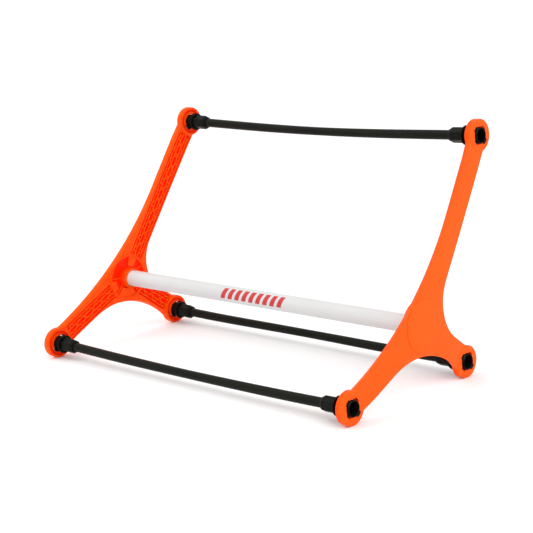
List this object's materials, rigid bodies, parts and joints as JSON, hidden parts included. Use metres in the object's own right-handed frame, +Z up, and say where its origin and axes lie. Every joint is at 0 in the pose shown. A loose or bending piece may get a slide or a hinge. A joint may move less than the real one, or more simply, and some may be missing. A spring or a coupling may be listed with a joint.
{
  "type": "agility hurdle",
  "caption": "Low agility training hurdle: two three-armed end plates joined by a tube, with flexible bars held in quarter-turn couplers at the arm tips.",
  "frame": {"origin": "on the floor under the middle of the hurdle's bounding box", "axes": "+X along the bars to the right plate, +Y from the front bar to the top bar, +Z up"},
  "size_m": [0.533, 0.3056, 0.3096],
  "materials": {
    "orange_plastic": "satin moulded orange",
    "white_tube": "smooth semi-gloss white",
    "black_bar": "satin extruded black",
    "black_plastic": "satin moulded black"
  },
  "bodies": {
    "frame": {"left_plate": "orange_plastic", "right_plate": "orange_plastic", "centre_tube": "white_tube", "top_bar": "black_bar", "front_bar": "black_bar", "rear_bar": "black_bar"},
    "left_front_coupler": {"left_front_coupler": "black_plastic"},
    "left_rear_coupler": {"left_rear_coupler": "black_plastic"},
    "left_top_coupler": {"left_top_coupler": "black_plastic"},
    "right_front_coupler": {"right_front_coupler": "black_plastic"},
    "right_rear_coupler": {"right_rear_coupler": "black_plastic"},
    "right_top_coupler": {"right_top_coupler": "black_plastic"}
  },
  "joints": [
    {"name": "left_front_lock", "type": "hinge", "parent": "frame", "child": "left_front_coupler", "pos_m": [-0.26318, -0.1328, 0.02023], "axis": [-0.9997, 0, 0.0262], "range_deg": [0, 90]},
    {"name": "left_rear_lock", "type": "hinge", "parent": "frame", "child": "left_rear_coupler", "pos_m": [-0.26318, 0.0836, 0.02023], "axis": [-0.9997, 0, 0.0262], "range_deg": [0, 90]},
    {"name": "left_top_lock", "type": "hinge", "parent": "frame", "child": "left_top_coupler", "pos_m": [-0.25613, 0.1328, 0.28964], "axis": [-0.9997, 0, 0.0262], "range_deg": [0, 90]},
    {"name": "right_front_lock", "type": "hinge", "parent": "frame", "child": "right_front_coupler", "pos_m": [0.26318, -0.1328, 0.02023], "axis": [0.9997, 0, 0.0262], "range_deg": [0, 90]},
    {"name": "right_rear_lock", "type": "hinge", "parent": "frame", "child": "right_rear_coupler", "pos_m": [0.26318, 0.0836, 0.02023], "axis": [0.9997, 0, 0.0262], "range_deg": [0, 90]},
    {"name": "right_top_lock", "type": "hinge", "parent": "frame", "child": "right_top_coupler", "pos_m": [0.25613, 0.1328, 0.28964], "axis": [0.9997, 0, 0.0262], "range_deg": [0, 90]}
  ]
}
